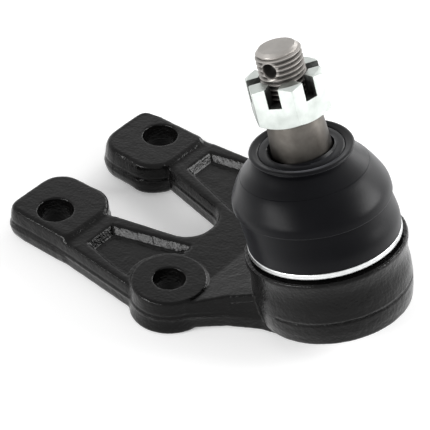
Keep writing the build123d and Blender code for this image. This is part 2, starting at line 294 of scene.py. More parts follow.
# the ragged line where the two halves of the forging meet, 1 on the line and 0 beside it
def seamLine(finish, values):
    upArm = finish.along((0, 0, 1), (0, 0, values["seamHeight"]))
    upHousing = finish.along(tuple(housingAxis), tuple(housingFrame @ Vector((0, 0, values["seamUp"]))))
    onHousing = finish.math("GREATER_THAN", finish.along((1, 0, 0)), values["housingFrom"])
    onArm = finish.math("SUBTRACT", 1.0, onHousing)
    armPart = finish.math("MULTIPLY", upArm, onArm)
    height = finish.math("ADD", armPart, finish.math("MULTIPLY", upHousing, onHousing))
    ragged, width = finish.noise(*values["ragged"]), values["seamWidth"]
    wander = finish.span(ragged, "Fac", -values["seamWander"], values["seamWander"])
    away = finish.math("ABSOLUTE", finish.math("ADD", height, wander))
    line = finish.span(away, "Value", 1.0, 0.0, width * values["seamCore"], width)
    broken = finish.span(finish.noise(*values["gaps"]), "Fac", 0.0, 1.0, *values["gapShares"])
    return finish.math("MULTIPLY", line, broken)


def makeEnamel(values):
    finish = Finish("black_enamel_on_forging")
    finish.set(Specular_Tint=(*[values["facingGloss"]] * 3, 1), Metallic=0.0)
    cast = finish.noise(*values["cast"])
    grain = finish.noise(*values["grain"])
    finish.skin(finish.noise(*values["broad"]), values, cast)
    groove = finish.math("SUBTRACT", 1.0, seamLine(finish, values))
    coarse = finish.bump(cast, "Fac", values["reliefStrength"], values["castDepth"])
    fine = finish.bump(grain, "Fac", values["reliefStrength"], values["grainDepth"], coarse)
    seam = finish.bump(groove, "Value", values["seamStrength"], values["seamDepth"], fine)
    finish.link(seam, "Normal", finish.shader, "Normal")
    return finish


rubberValues = {
    "dark": (0.0018, 0.0018, 0.0024),
    "light": (0.0034, 0.0035, 0.0044),
    "facingGloss": 0.11,
    "edgeSheen": 0.1,
    "sheenRoughness": 0.4,
    "sheenTint": (0.9, 0.92, 1),
    "roughness": (0.31, 0.39),
    "bloom": (45, 3),
    "pores": (900, 2),
    "poreStrength": 0.12,
    "poreDepth": 0.0001,  # m
}


def makeRubber(values):
    finish = Finish("boot_rubber")
    finish.set(Specular_Tint=(*[values["facingGloss"]] * 3, 1), Metallic=0.0)
    finish.set(Sheen_Weight=values["edgeSheen"], Sheen_Roughness=values["sheenRoughness"])
    finish.set(Sheen_Tint=(*values["sheenTint"], 1))
    finish.skin(finish.noise(*values["bloom"]), values)
    finish.relief(finish.noise(*values["pores"]), values["poreStrength"], values["poreDepth"])
    return finish


steelValues = {
    "dark": (0.07, 0.063, 0.056),
    "light": (0.15, 0.14, 0.127),
    "endDark": (0.3, 0.285, 0.268),
    "endLight": (0.42, 0.4, 0.38),
    "roughness": (0.36, 0.5),
    "stain": (120, 4),
    "lines": (240, 3, 0.6),
    "lineStretch": (0.25, 0.25, 9),
    "lineStrength": 0.14,
    "lineDepth": 0.0001,  # m
    "paintedShadeNearBootFrom": (0.037, 0.047),  # m up the stud, over which the painted shade near the boot fades out
    # share of the colour left under the painted shade near the boot
    "paintedShadeNearBoot": 0.35,
    "endFrom": (0.05, 0.062),  # m up the stud, where the brighter thread begins
    "paintedRootShadeReach": (0.0062, 0.0069),  # m from the axis, over which the painted shade in the thread's roots fades out
    # share of the colour left under the painted shade in the thread's roots
    "paintedRootShade": 0.32,
    "endFace": 0.0702,  # m up the stud, past which the painted shade in the thread's roots stops, at the end face
}


def reachFromStudAxis(finish):
    fromBall = finish.add("ShaderNodeVectorMath", operation="SUBTRACT")
    finish.link(finish.place, "Object", fromBall, 0)
    fromBall.inputs[1].default_value = ballCentre
    across = finish.add("ShaderNodeVectorMath", operation="CROSS_PRODUCT")
    finish.link(fromBall, "Vector", across, 0)
    across.inputs[1].default_value = studAxis
    reach = finish.add("ShaderNodeVectorMath", operation="LENGTH")
    finish.link(across, "Vector", reach, 0)
    return reach


def makeTurnedSteel(values):
    finish = Finish("turned_steel")
    finish.set(Metallic=1.0, Specular_IOR_Level=0.5)
    stain = finish.noise(*values["stain"])
    finish.shine(stain, values["roughness"])
    turned = (0, math.radians(studTilt), 0)
    lines = finish.noise(*values["lines"], values["lineStretch"], turned)
    finish.relief(lines, values["lineStrength"], values["lineDepth"])
    shank = finish.ramp(stain, "Fac", [(0.3, values["dark"]), (0.7, values["light"])])
    end = finish.ramp(stain, "Fac", [(0.3, values["endDark"]), (0.7, values["endLight"])])
    height = finish.along(tuple(studAxis), tuple(ballCentre))
    share = finish.span(height, "Value", 0.0, 1.0, *values["endFrom"])
    bare = finish.add("ShaderNodeMix", data_type="RGBA")
    finish.link(share, "Result", bare, 0)
    finish.link(shank, "Color", bare, 6)
    finish.link(end, "Color", bare, 7)
    # painted shade in the roots of the thread, and painted shade that darkens the shank towards the boot
    roots = finish.span(reachFromStudAxis(finish), "Value", values["paintedRootShade"], 1.0, *values["paintedRootShadeReach"])
    rootShadeFactor = finish.math("MAXIMUM", roots, finish.math("GREATER_THAN", height, values["endFace"]))
    nearBootShading = finish.span(height, "Value", values["paintedShadeNearBoot"], 1.0, *values["paintedShadeNearBootFrom"])
    tinted = finish.add("ShaderNodeMix", data_type="RGBA", blend_type="MULTIPLY")
    tinted.inputs[0].default_value = 1.0
    finish.link(bare, 2, tinted, 6)
    finish.link(finish.math("MULTIPLY", rootShadeFactor, nearBootShading), "Value", tinted, 7)
    finish.link(tinted, 2, finish.shader, "Base Color")
    return finish


# the plain metals, and a darker zinc that is painted shade in the nut's slots and bore
metalValues = {
    "zinc_plate": {
        "dark": (0.5, 0.535, 0.51), "light": (0.62, 0.655, 0.63),
        "roughness": (0.32, 0.44), "mottle": (260, 4)},
    # painted shade: a darker zinc for the nut's slots and bore
    "zinc_with_painted_shade": {
        "dark": (0.05, 0.053, 0.05), "light": (0.13, 0.136, 0.13),
        "roughness": (0.44, 0.56), "mottle": (600, 4)},
    "clamp_ring_steel": {
        "dark": (0.62, 0.63, 0.63), "light": (0.74, 0.75, 0.75),
        "roughness": (0.28, 0.4), "mottle": (500, 4)},
    "blued_spring_steel": {
        "dark": (0.1, 0.105, 0.12), "light": (0.17, 0.175, 0.19),
        "roughness": (0.29, 0.41), "mottle": (300, 4)},
    "pressed_plate_steel": {
        "dark": (0.4, 0.4, 0.39), "light": (0.52, 0.52, 0.51),
        "roughness": (0.29, 0.41), "mottle": (300, 4)},
}
metalRelief = (0.07, 0.00015)  # strength, and depth in m


def makeMetal(name, values):
    finish = Finish(name)
    finish.set(Metallic=1.0, Specular_IOR_Level=0.5)
    mottle = finish.noise(*values["mottle"])
    finish.skin(mottle, values)
    finish.relief(mottle, *metalRelief)
    return finish


seatPlasticValues = {
    "dark": (0.7, 0.66, 0.55),
    "light": (0.78, 0.75, 0.65),
    "roughness": (0.32, 0.45),
    "glowThrough": (0.15, 0.002),  # subsurface weight, and scale in m
    "cloud": (160, 3),
    "cloudRelief": (0.05, 0.0001),  # strength, and depth in m
}


def makeSeatPlastic(values):
    finish = Finish("seat_plastic")
    weight, scale = values["glowThrough"]
    finish.set(Specular_IOR_Level=0.5, Subsurface_Weight=weight, Subsurface_Scale=scale, Metallic=0.0)
    cloud = finish.noise(*values["cloud"])
    finish.skin(cloud, values)
    finish.relief(cloud, *values["cloudRelief"])
    return finish


enamel = makeEnamel(enamelValues)
rubber = makeRubber(rubberValues)
turnedSteel = makeTurnedSteel(steelValues)
metals = {name: makeMetal(name, values) for name, values in metalValues.items()}
seatPlastic = makeSeatPlastic(seatPlasticValues)
print("finishes made")


# lengths in mm; heights are above the pads' top plane, or up the housing's axis where it says so
bracketValues = {
    "voxel": 0.42,
    "pull": 0.5,  # of a smoothing pass
    "release": -0.52,  # of a pass that gives the size back
    "evening": 4,  # pairs of such passes
    "softening": 3,  # passes that round the forged edges
    "machinedShare": 0.06,  # of all these, on machined faces
    "machinedBore": 21,  # from the housing's axis
    "machinedRim": (24.4, 15),  # from the housing's axis, and up it
    "collarPasses": 160,  # that blend the collar into the housing
    "collarBand": (10.0, 17.2),  # up the housing's axis
    "collarReach": 24,
    "collarFrom": 75,  # x
    "stepPasses": 14,  # on the front edges of the end pads
    "stepBand": (11.8, 15.8),  # x
    "stepHeights": (-2.2, 0.4),
    "cornerPasses": 130,  # on the pads' far corners, seen from above
    "cornerReach": (10.5, 2),  # from the bolt hole, and the width over which it comes in
    "cornerFrom": (4, 4),  # x, and the same
    "cornerShare": 0.4,  # at -Y, where the corners are less round than at +Y
    "boltHoles": ((0, 26.1, 7.6), (50.8, 28.5, 6.8)),  # x, distance from the middle plane, reach of each pair
    "flashHeight": -6.2,
    "flashRise": 0.22,
    "flashWidth": 0.5,
    "partingDepth": 0.2,  # of the groove beside the flash
    "partingAbove": 0.9,
    "partingWidth": 0.4,
    "armEnd": (70, 2),  # x, and the width over which the arms' lines fade out
    "housingLine": 3.8,  # up the housing's axis
    "housingLineDepth": 0.36,
    "housingLineWidth": 0.38,
    "housingLineFrom": (90, 23),  # x, and from the axis
    "sideSlope": 2.2,  # how soon the die marks fade where a face isn't upright
    "padFront": (13.5, 2),  # x, and the width over which the step fades out
    "padBack": -6,
    "padStep": 0.55,  # by which the lower die's half of an end pad stands out
    "padStepRise": (0.2, 0.8),  # below the flash, and the height over which it comes in
    "padBulge": (0.15, 0.6),  # more at the back edges of the two end pads, at -Y and +Y
    "swell": 0.12,  # of enamel and skin on the forged faces
    "skinWaves": 0.06,  # of unevenness
    "waveSizes": ((0.35, 1), (1.1, 0.5), (2.3, 0.4)),  # per mm, and share
}


def readPoints(mesh, attribute="co"):
    points = np.empty(len(mesh.vertices) * 3)
    mesh.vertices.foreach_get(attribute, points)
    return points.reshape(-1, 3)


def writePoints(mesh, points):
    mesh.vertices.foreach_set("co", points.reshape(-1))
    mesh.update()


def neighbours(mesh):
    edges = np.empty(len(mesh.edges) * 2, np.int64)
    mesh.edges.foreach_get("vertices", edges)
    edges = edges.reshape(-1, 2)
    return np.concatenate((edges[:, 0], edges[:, 1])), np.concatenate((edges[:, 1], edges[:, 0]))


def smoothPoints(points, links, weights, strengths):
    starts, ends = links
    count = len(points)
    degree = np.maximum(np.bincount(starts, minlength=count), 1)[:, None]
    for strength in strengths:
        total = np.stack([np.bincount(starts, points[ends, k], count) for k in range(3)], 1)
        points = points + (total / degree - points) * weights[:, None] * strength
    return points


def between(places, low, high):
    return (places > low) & (places < high)


# 0 before the start and 1 past the width
def rising(places, start, width):
    return np.clip((places - start) / width, 0, 1)


def bell(places, middle, width):
    return np.exp(-((places - middle) / width) ** 2)


# height up the housing's axis and distance from it
def placesOnHousing(points):
    toHousing = np.array(housingFrame.inverted())
    local = points @ toHousing[:3, :3].T + toHousing[:3, 3] / mm
    return local[:, 2], np.hypot(local[:, 0], local[:, 1])


# evens out the voxels, then softens the collar, the pads' front edges and their far corners
def softenForging(mesh, points, forged, height, reach, values):
    links = neighbours(mesh)
    share = np.where(forged, 1.0, values["machinedShare"])
    pull, evening = [values["pull"]], [values["pull"], values["release"]]
    points = smoothPoints(points, links, share, evening * values["evening"] + pull * values["softening"])
    collar = between(height, *values["collarBand"]) & (reach > values["collarReach"])
    collar &= points[:, 0] > values["collarFrom"]
    points = smoothPoints(points, links, collar.astype(float), pull * values["collarPasses"])
    step = between(points[:, 0], *values["stepBand"]) & between(points[:, 2], *values["stepHeights"])
    points = smoothPoints(points, links, step.astype(float), pull * values["stepPasses"])
    holeX, holeY = values["boltHoles"][0][:2]
    fromHole = np.hypot(points[:, 0] - holeX, np.abs(points[:, 1]) - holeY)
    before, width = values["cornerFrom"]
    corner = rising(fromHole, *values["cornerReach"]) * rising(-points[:, 0], -before, width)
    corner *= np.where(points[:, 1] > 0, 1.0, values["cornerShare"])
    points[:, :2] = smoothPoints(points, links, corner, pull * values["cornerPasses"])[:, :2]
    return points


# flash and parting line of the dies, in mm outwards, and the step between them at the end pads
def dieMarks(points, normals, height, reach, values):
    x, y, z = points.T
    outside = np.ones(len(points), bool)
    for holeX, holeY, holeReach in values["boltHoles"]:
        outside &= np.hypot(x - holeX, np.abs(y) - holeY) > holeReach
    upright = np.clip(1 - np.abs(normals[:, 2]) * values["sideSlope"], 0, 1) * outside
    flash, (armEnd, fade) = values["flashHeight"], values["armEnd"]
    onArm = 1 / (1 + np.exp((x - armEnd) / fade))
    push = values["flashRise"] * bell(z, flash, values["flashWidth"]) * upright * onArm
    parting = bell(z, flash + values["partingAbove"], values["partingWidth"])
    push -= values["partingDepth"] * parting * upright * onArm
    lineFrom, lineReach = values["housingLineFrom"]
    line = bell(height, values["housingLine"], values["housingLineWidth"]) * (1 - onArm)
    push -= values["housingLineDepth"] * line * (reach > lineReach) * (x > lineFrom)
    (front, width), (under, rise) = values["padFront"], values["padStepRise"]
    below = rising(-z, under - flash, rise) * rising(-x, -front, width)
    push += values["padStep"] * below * upright
    atMinus, atPlus = values["padBulge"]
    atBack = (x < values["padBack"]) & outside
    push += np.where(y > 0, atPlus, atMinus) * np.clip(-normals[:, 0], 0, 1) * atBack
    return push


def makeBracket(values):
    source = frame["nodes"]["bracket"]
    piece = newPiece("forged_bracket", source.data.copy())
    remesh = piece.modifiers.new("skin", "REMESH")
    remesh.mode, remesh.voxel_size, remesh.adaptivity = "VOXEL", values["voxel"] * mm, 0
    hug = piece.modifiers.new("hug", "SHRINKWRAP")
    hug.target, hug.wrap_method = source, "NEAREST_SURFACEPOINT"
    applyModifiers(piece)
    mesh = piece.data
    points = readPoints(mesh) / mm
    height, reach = placesOnHousing(points)
    rimReach, rimHeight = values["machinedRim"]
    forged = ((reach >= rimReach) | (height <= rimHeight)) & (reach >= values["machinedBore"])
    points = softenForging(mesh, points, forged, height, reach, values)
    writePoints(mesh, points * mm)
    normals = readPoints(mesh, "normal")
    push = dieMarks(points, normals, height, reach, values)
    for i in np.flatnonzero(forged):
        place = Vector(points[i])
        waves = sum(share * noise.noise(place * size) for size, share in values["waveSizes"])
        push[i] += values["swell"] + values["skinWaves"] * waves
    writePoints(mesh, (points + normals * push[:, None]) * mm)
    mesh.shade_smooth()
    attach(piece, "bracket_body")
    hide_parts("bracket")
    dress(piece, enamel)
    return piece


bracket = makeBracket(bracketValues)
print("bracket made:", len(bracket.data.polygons), "faces")


# lengths in mm; heights are up the stud's axis from the ball's centre
studValues = {
    "segments": 144,
    "ballRadius": 14.0,
    "ballSteps": 40,
    "ballEnds": (0.03, 0.008),  # radians left free at the flat and at the neck
    "ballFlat": -10.5,
    "flatInset": 0.6,
    "neckRadius": 7.6,
    "neckRoot": (0.15, 0.1),  # rise above the ball, and fillet
    "neckEnd": 18.0,
    "neckFillet": 2.5,
    "taperRadius": 9.5,
    "taperStart": 25.0,
    "taperGauge": 34.0,
    "gaugeFillet": 1.5,
    "taperEnd": 49.0,
    "taperSmallRadius": 8.5625,
    "taperFillet": 0.4,
    "undercutDepth": 0.9,
    "undercutLength": 0.9,
    "undercutRamps": (0.2, 0.3),
    "undercutFillet": 0.3,
    "threadRadius": 7.0,
    "threadStart": 49.6,
    "threadPitch": 1.5,
    "threadDepth": 0.92,
    "threadFades": (1.2, 0.9),  # at its start and at its end
    "pitchSteps": 16,
    "end": 71.8,
    "endChamfer": 1.5,
    "cotterHole": 4.1,
    "cotterFlare": 5.2,
    "flareDepth": (0.1, 0.9),  # past the thread's crest, and under it
    "cotterReach": 15,
    "cotterPlain": (2.3, 1.1),  # radius round the hole without thread, and the width of its fade
    "cotterHeight": 66.8,
    "cotterTurn": -79.0,  # degrees
    "sharpAngles": (40, 32),  # degrees, before and after the hole is cut
}


# a pin across an axis, with (distance from the axis, radius) stations
def crossPin(name, matrix, height, turn, stations, segments=48):
    along = matrix.to_3x3() @ Vector((math.cos(turn), math.sin(turn), 0))
    up = matrix.to_3x3() @ Vector((0, 0, 1))
    side = up.cross(along)
    middle = matrix @ Vector((0, 0, height * mm))
    spokes = [side * math.cos(a) + up * math.sin(a) for a in evenAngles(segments)]
    rows = []
    for distance, radius in stations:
        rows.append([middle + along * distance * mm + spoke * radius * mm for spoke in spokes])
    return pieceFromGrid(name, rows, capStart=True, capEnd=True)


# how deep a metric thread lies under its crest, at a share of its pitch;
# a quarter of the pitch is flat at the root and an eighth at the crest
def threadCut(phase, depth):
    flank = abs(phase - 0.5) * 2
    return depth * (1 - min(max((flank - 0.25) / 0.625, 0), 1))


# the threaded length, with rows of points that follow the helix and fade out at both ends and round the hole
def threadRows(values, start, turn):
    pitch, steps, segments = values["threadPitch"], values["pitchSteps"], values["segments"]
    end, radius, chamfer = values["end"], values["threadRadius"], values["endChamfer"]
    fadeIn, fadeOut = values["threadFades"]
    plainRadius, plainFade = values["cotterPlain"]
    rows = []
    for k in range(-steps, math.ceil((end - start) / pitch) * steps + 1):
        row = []
        for j in range(segments + 1):
            h = min(max(start + (k / steps + j / segments) * pitch, start), end)
            angle = 2 * math.pi * j / segments
            fade = min((h - start) / fadeIn, 1) * min((end - h) / fadeOut, 1)
            fromMouth = abs((angle - turn + math.pi / 2) % math.pi - math.pi / 2)
            fromHole = math.hypot(h - values["cotterHeight"], radius * fromMouth)
            fade *= min(max((fromHole - plainRadius) / plainFade, 0), 1)
            plain = min(radius, radius - chamfer + (end - h))
            r = min(radius - threadCut((k / steps) % 1.0, values["threadDepth"]) * fade, plain)
            row.append(around(studFrame, r, angle, h))
        rows.append(row)
    return rows


# ball, neck, taper and undercut, up to where the thread begins
def shankOutline(values, start):
    ball, flat = values["ballRadius"], values["ballFlat"]
    neck, thread = values["neckRadius"], values["threadRadius"]
    low = math.asin(flat / ball)
    high = math.acos(neck / ball)
    lowGap, highGap = values["ballEnds"]
    sweep = np.linspace(low + lowGap, high - highGap, values["ballSteps"])
    outline = [(ball * math.cos(low) - values["flatInset"], flat)]
    outline += [(ball * math.cos(a), ball * math.sin(a)) for a in sweep]
    rise, rootFillet = values["neckRoot"]
    down, up = values["undercutRamps"]
    groove = thread - values["undercutDepth"]
    corners = [
        (*outline[-1], 0),
        (neck, ball * math.sin(high) + rise, rootFillet),
        (neck, values["neckEnd"], values["neckFillet"]),
        (values["taperRadius"], values["taperStart"], values["neckFillet"]),
        (values["taperRadius"], values["taperGauge"], values["gaugeFillet"]),
        (values["taperSmallRadius"], values["taperEnd"], values["taperFillet"]),
        (groove, values["threadStart"] + down, values["undercutFillet"]),
        (groove, start - up, 0),
        (thread, start, 0),
    ]
    return outline + filletProfile(corners)[1:]


def makeStud(values):
    start, segments = values["threadStart"] + values["undercutLength"], values["segments"]
    turn, edge = math.radians(values["cotterTurn"]), values["threadRadius"]
    piece = lathe("ball_stud_turned", shankOutline(values, start), studFrame, segments)
    work = bmesh.new()
    work.from_mesh(piece.data)
    topCap = [face for face in work.faces if len(face.verts) == segments][-1:]
    bmesh.ops.delete(work, geom=topCap, context="FACES_ONLY")
    grid = [[work.verts.new(point) for point in row] for row in threadRows(values, start, turn)]
    for lower, upper in zip(grid, grid[1:]):
        for j in range(segments):
            work.faces.new((lower[j], lower[j + 1], upper[j + 1], upper[j]))
    rim = ringOf(studFrame, edge - values["endChamfer"], values["end"], segments)
    work.faces.new([work.verts.new(point) for point in rim])
    work.to_mesh(piece.data)
    work.free()
    firstSharp, lastSharp = values["sharpAngles"]
    finishMesh(piece, firstSharp)
    hole, flare, far = values["cotterHole"] / 2, values["cotterFlare"] / 2, values["cotterReach"]
    past, under = values["flareDepth"]
    half = [(far, flare), (edge + past, flare), (edge - under, hole)]
    stations = [(-distance, radius) for distance, radius in half] + half[::-1]
    cut(piece, crossPin("pin", studFrame, values["cotterHeight"], turn, stations))
    finishMesh(piece, lastSharp)
    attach(piece, "stud_body")
    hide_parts("ball_stud")
    dress(piece, turnedSteel)
    return piece


stud = makeStud(studValues)
print("stud made:", len(stud.data.polygons), "faces")


# lengths in mm; heights are up the stud's axis
nutValues = {
    "acrossFlats": 22.0,
    "bottom": 49.9,
    "height": 13.0,
    "turn": 19.9,  # degrees
    "slotWidth": 4.2,
    "slotDepth": 6.2,
    "cornerDrop": 1.3316,  # of the rounded corners, at the radius where the barrel ends
    "cornerInset": 1.9,  # of the round face on top and bottom, from the corners
    "barrelPast": 0.4,
    "bore": 7.1,
    "boreLead": (0.4, 0.8),  # width and depth of the chamfer at each end of the bore
    "boreFlare": 1.3,
    "edgeRound": 0.28,
    "edgeSteps": 3,
    "edgeAngle": 32,  # degrees, from which an edge is rounded
    "sharpAngle": 30,
    "segments": (144, 96),  # of the barrel and the bore
    "skim": 0.001,  # by which cuts clear the faces
    "toolPast": (4, 3, 1),  # of the slots' tool sideways and upwards, and of the bore's
    "paintedShadeReach": 0.02,  # past the slots' walls, where the painted shade reaches
    "paintedShadeEdgeGap": 0.1,  # under the crown's top, left without the painted shade
    # how far past the bore the painted shade reaches
    "paintedShadeBoreReach": 0.2,
}


# a block through the nut's crown for one pair of slots
def slotTool(values, angle, corner, top):
    along = Vector((math.cos(angle), math.sin(angle), 0))
    side = Vector((-math.sin(angle), math.cos(angle), 0))
    aside, above = values["toolPast"][:2]
    reach, half = corner + aside, values["slotWidth"] / 2
    corners = ((-reach, -half), (reach, -half), (reach, half), (-reach, half))
    rows = []
    for h in (top - values["slotDepth"], top + above):
        rows.append([studFrame @ ((along * x + side * y + Vector((0, 0, h))) * mm) for x, y in corners])
    return pieceFromGrid("slot", rows, capStart=True, capEnd=True)


# walls and floors of the slots, and the bore, which get the darker zinc as painted shade
def insideNut(values, place, top, slotAngles):
    wall = values["slotWidth"] / 2 + values["paintedShadeReach"]
    floor = top - values["slotDepth"] - values["paintedShadeReach"]
    alongSlot = any(abs(place.y * math.cos(a) - place.x * math.sin(a)) < wall for a in slotAngles)
    inSlot = alongSlot and floor < place.z < top - values["paintedShadeEdgeGap"]
    return inSlot or math.hypot(place.x, place.y) < values["bore"] + values["paintedShadeBoreReach"]


def makeNut(values):
    flats, bottom, top = values["acrossFlats"] / 2, values["bottom"], values["bottom"] + values["height"]
    corner = flats / math.cos(math.radians(30))
    turn = math.radians(values["turn"])
    hexagon = [turn + angle for angle in evenAngles(6)]
    rows = [[around(studFrame, corner, angle, h) for angle in hexagon] for h in (bottom, top)]
    piece = pieceFromGrid("slotted_nut_plated", rows, capStart=True, capEnd=True)
    face, past, drop = corner - values["cornerInset"], corner + values["barrelPast"], values["cornerDrop"]
    skim, (barrelSegments, boreSegments), beyond = values["skim"], values["segments"], values["toolPast"][2]
    barrel = [(face, bottom - skim), (past, bottom + drop), (past, top - drop), (face, top + skim)]
    cut(piece, lathe("barrel", barrel, studFrame, barrelSegments), "INTERSECT")
    hole, flare, (lead, depth) = values["bore"], values["bore"] + values["boreFlare"], values["boreLead"]
    bore = [(flare, bottom - beyond), (hole + lead, bottom - skim), (hole, bottom + depth)]
    bore += [(hole, top - depth), (hole + lead, top + skim), (flare, top + beyond)]
    cut(piece, lathe("bore", bore, studFrame, boreSegments))
    slotAngles = [turn + math.radians(30 + 60 * k) for k in range(3)]
    for angle in slotAngles:
        cut(piece, slotTool(values, angle, corner, top))
    bevel = piece.modifiers.new("edges", "BEVEL")
    bevel.width, bevel.segments = values["edgeRound"] * mm, values["edgeSteps"]
    bevel.limit_method, bevel.angle_limit = "ANGLE", math.radians(values["edgeAngle"])
    applyModifiers(piece)
    finishMesh(piece, values["sharpAngle"])
    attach(piece, "nut_body")
    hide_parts("slotted_nut")
    dress(piece, metals["zinc_plate"])
    # the darker zinc paints shade into the slots and the bore
    piece.data.materials.append(metals["zinc_with_painted_shade"].material)
    toNut = studFrame.inverted()
    for side in piece.data.polygons:
        if insideNut(values, (toNut @ side.center) / mm, top, slotAngles):
            side.material_index = 1
    return piece


nut = makeNut(nutValues)
print("nut made:", len(nut.data.polygons), "faces")


# lengths in mm; a ring of skirt, crease or dome has x, counted from the housing's foot, z, tilt and radius
bootValues = {
    "segments": 180,
    "steps": {"skirt": 6, "dome": 8, "lining": 4},  # from one ring to the next
    "sharpAngle": 60,  # degrees
    "wall": 2.0,
    "foot": (21.55, 23.75),  # height up the housing's axis and radius, where the skirt begins
    "skirt": [(-5.93, 24.52, 12.9, 23.8), (-8.11, 28.69, 12.2, 23.6), (-9.55, 31.95, 10.8, 23.5)],
    "crease": (-9.79, 32.79, 10.2, 24.33),
    "rim": ((-0.35, -0.702), (-0.315, -0.27), (-0.1575, 0)),  # z and radius, from the crease's
    "dome": [(-10.6, 34.7, 11.6, 24.1), (-11.6, 36.98, 12.9, 22.9), (-12.6, 39.6, 13.0, 21.3),
             (-13.1, 41.64, 12.7, 19.71), (-13.55, 43.75, 12.0, 17.5)],
    "mouldLine": 4,  # which of the dome's rings, counted from the crease, carries the line
    "mouldReach": (0.035, 0.08),  # of its flanks, in rings
    "mouldDepth": 0.22,
    "lipHeight": 38.5,  # up the stud's axis
    "lipTilt": 10.2,
    "underLip": ((-3.1, 15.6), (-2.2, 14.5)),  # height up the lip's own axis and radius, as for the lip
    "lip": [(-1.8, 14.1), (-1.45, 14.1), (-1.2, 14.5), (-1.1, 15.4), (-0.85, 15.85), (-0.5, 16.0),
            (-0.15, 15.85), (0.05, 15.5), (0.08, 15.1), (-0.1, 14.6), (-0.3, 14.1), (-0.4, 13.4),
            (-0.75, 13.15), (-0.4, 12.9), (-0.22, 12.5), (-0.2, 11.5), (-0.32, 10.5)],
    "mouth": (10.0, (-0.7, -3.0)),  # radius round the stud, and the heights from the lip's where it holds
    "underMouth": ((-3.4, 10.6), (-4.2, 11.6), (-4.6, 11.8)),
    "leans": [0, 0, 4, 12, 22, 36, 44, 52],  # degrees of the wall's rings that the lining follows
    "liningFoot": ((24.8, 21.8), (19, 21.8), (18.6, 21.8)),  # height up the housing's axis and radius
    "bead": ((18.6, 22.7), (21.2, 22.7), (21.4, 23.4)),
    "bendFrom": 25.4,  # up the housing's axis, where the boot would begin to follow the stud
    "bendTo": 34.0,  # up the stud's axis, where it would be wholly with the stud
}


def ringAt(centreX, centreZ, tilt, radius, segments):
    a = math.radians(tilt)
    across = Vector((math.cos(a), 0, math.sin(a)))
    centre = Vector((centreX, 0, centreZ))
    return [(centre + across * radius * math.cos(t) + Vector((0, radius * math.sin(t), 0))) * mm
            for t in evenAngles(segments)]


# a smooth run of rings through the key rings, at the given places counted in keys
def throughKeys(keys, places):
    keys = [Vector(key) for key in keys]
    run = []
    for place in places:
        i = min(int(place), len(keys) - 2)
        t = place - i
        p0, p1, p2, p3 = keys[max(i - 1, 0)], keys[i], keys[i + 1], keys[min(i + 2, len(keys) - 1)]
        run.append(0.5 * ((2 * p1) + (p2 - p0) * t + (2 * p0 - 5 * p1 + 4 * p2 - p3) * t * t
                          + (3 * p1 - p0 - 3 * p2 + p3) * t ** 3))
    return run


def evenPlaces(keys, steps):
    return [k / steps for k in range((len(keys) - 1) * steps + 1)]


# rings (x, z, tilt, radius) round an axis, from pairs of height and radius
def ringsOn(origin, axis, tilt, pairs):
    places = [(origin / mm + axis * height, radius) for height, radius in pairs]
    return [(place.x, place.z, tilt, radius) for place, radius in places]


# the dome's rings, with the groove of the mould line
def domeRings(keys, values):
    line, (near, far) = values["mouldLine"], values["mouldReach"]
    places = evenPlaces(keys, values["steps"]["dome"])
    places = sorted(places + [line - far, line - near, line + near, line + far])
    rings = throughKeys(keys, places)
    rings[places.index(line)] -= Vector((0, 0, 0, values["mouldDepth"]))
    return rings


# a ring of the lining, one wall inside an outer ring that leans
def inward(ring, lean, wall):
    x, z, tilt, radius = ring
    turn, slope = math.radians(tilt), math.radians(lean)
    drop = wall * math.sin(slope)
    return (x + drop * math.sin(turn), z - drop * math.cos(turn), tilt, radius - wall * math.cos(slope))


def makeBoot(values):
    foot, steps = housingFrame.translation, values["steps"]
    lipTurn = math.radians(values["lipTilt"])
    lipAxis = Vector((-math.sin(lipTurn), 0, math.cos(lipTurn)))
    lipPlace = ballCentre + studAxis * values["lipHeight"] * mm

    def onHousing(pairs):
        return ringsOn(foot, housingAxis, housingTilt, pairs)

    def onLip(pairs):
        return ringsOn(lipPlace, lipAxis, values["lipTilt"], pairs)

    def fromFoot(rings):
        return [(foot.x / mm + x, *rest) for x, *rest in rings]

    skirt = onHousing([values["foot"]]) + fromFoot(values["skirt"])
    dome = fromFoot([values["crease"]] + values["dome"]) + onLip(values["underLip"])
    rim = [Vector(dome[0]) + Vector((0, z, 0, radius)) for z, radius in values["rim"]]
    outer = throughKeys(skirt, evenPlaces(skirt, steps["skirt"])) + rim + domeRings(dome, values)
    mouth, depths = values["mouth"]
    throat = ringsOn(lipPlace, studAxis, studTilt, [(depth, mouth) for depth in depths])
    under = onLip(values["underMouth"])
    walls = zip(skirt[1:3] + dome[:6], values["leans"])
    thinned = [inward(ring, lean, values["wall"]) for ring, lean in walls]
    lining = under[-1:] + thinned[::-1] + onHousing(values["liningFoot"])
    inner = under[:-1] + throughKeys(lining, evenPlaces(lining, steps["lining"]))
    keys = outer + onLip(values["lip"]) + throat + inner + onHousing(values["bead"])
    rings = [ringAt(*ring, values["segments"]) for ring in keys]
    piece = pieceFromGrid("dust_boot_rubber", rings, closeRows=True)
    finishMesh(piece, values["sharpAngle"])
    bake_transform(piece)
    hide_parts("dust_boot")
    dress(piece, rubber)
    return piece


boot = makeBoot(bootValues)
print("boot made:", len(boot.data.polygons), "faces")


# lengths in mm; heights are up the housing's axis
clampValues = {
    "segments": 180,
    "sharpAngle": 60,  # degrees
    "bottom": 19.45,
    "top": 21.25,
    "outer": 23.9,
    "thickness": 0.9,
    "innerRound": 0.15,
    "edgeRound": 0.3,
    "edgeInset": 0.05,
    "grooveDepth": 0.05,
    "grooveHalf": 0.3,
    "grooveRound": 0.1,
    "outlineGap": 0.01,  # between the outline's two ends
}


